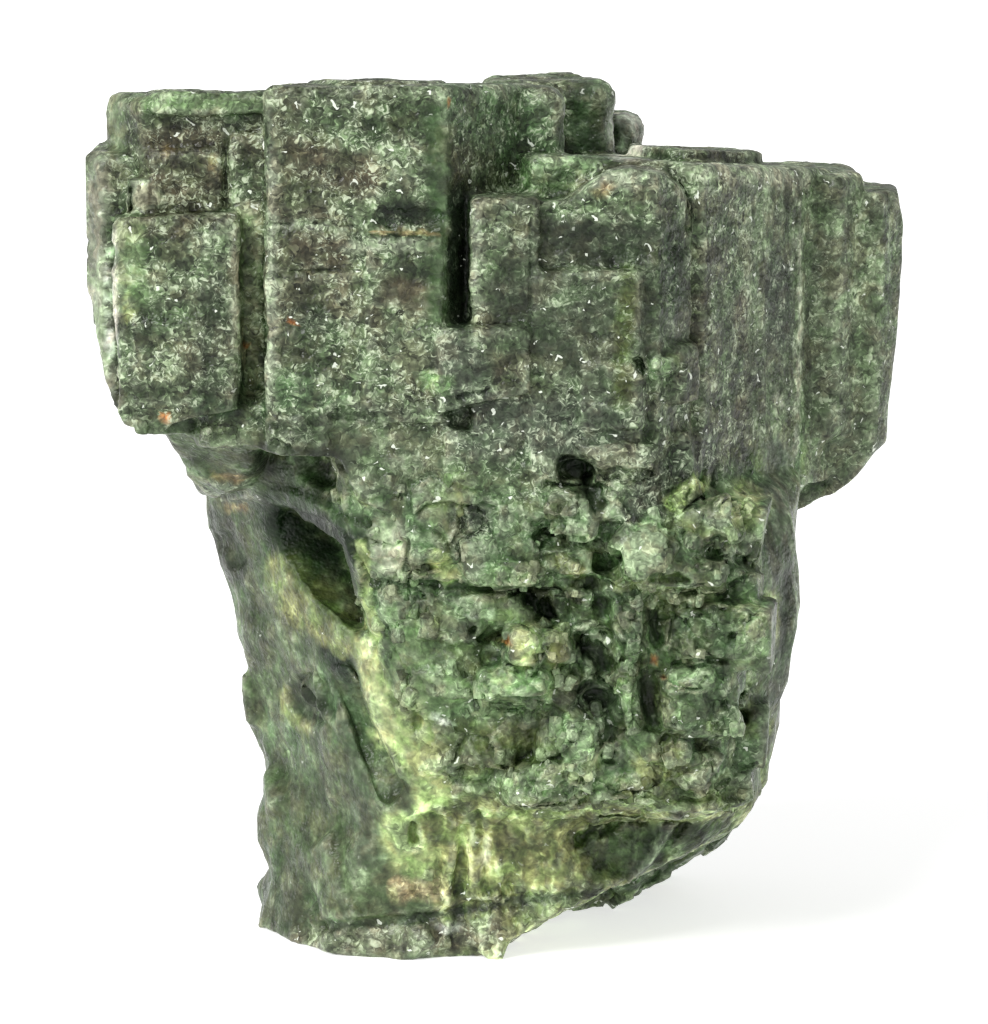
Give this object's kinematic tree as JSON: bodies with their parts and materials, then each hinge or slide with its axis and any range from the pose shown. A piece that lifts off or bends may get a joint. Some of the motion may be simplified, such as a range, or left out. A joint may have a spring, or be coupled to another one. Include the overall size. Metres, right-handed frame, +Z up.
{
  "type": "chrome tourmaline crystal",
  "caption": "Natural green gem crystal: stubby parallel prisms with stepped tops, grown together on a tapering, etched and hollowed root that stands on its flat broken foot.",
  "frame": {"origin": "under the middle of the crystal's box, on the surface that its foot stands on", "axes": "+Z up along the crystals' long axis, -Y the front with the etched crust, +X to the right of someone who looks at the front"},
  "size_m": [0.0168, 0.0124, 0.0179],
  "materials": {
    "tourmaline": "etched, half gloss, dark green with fine grey-green speckle"
  },
  "bodies": {
    "root": {"tourmaline_crystal": "tourmaline"}
  },
  "joints": []
}
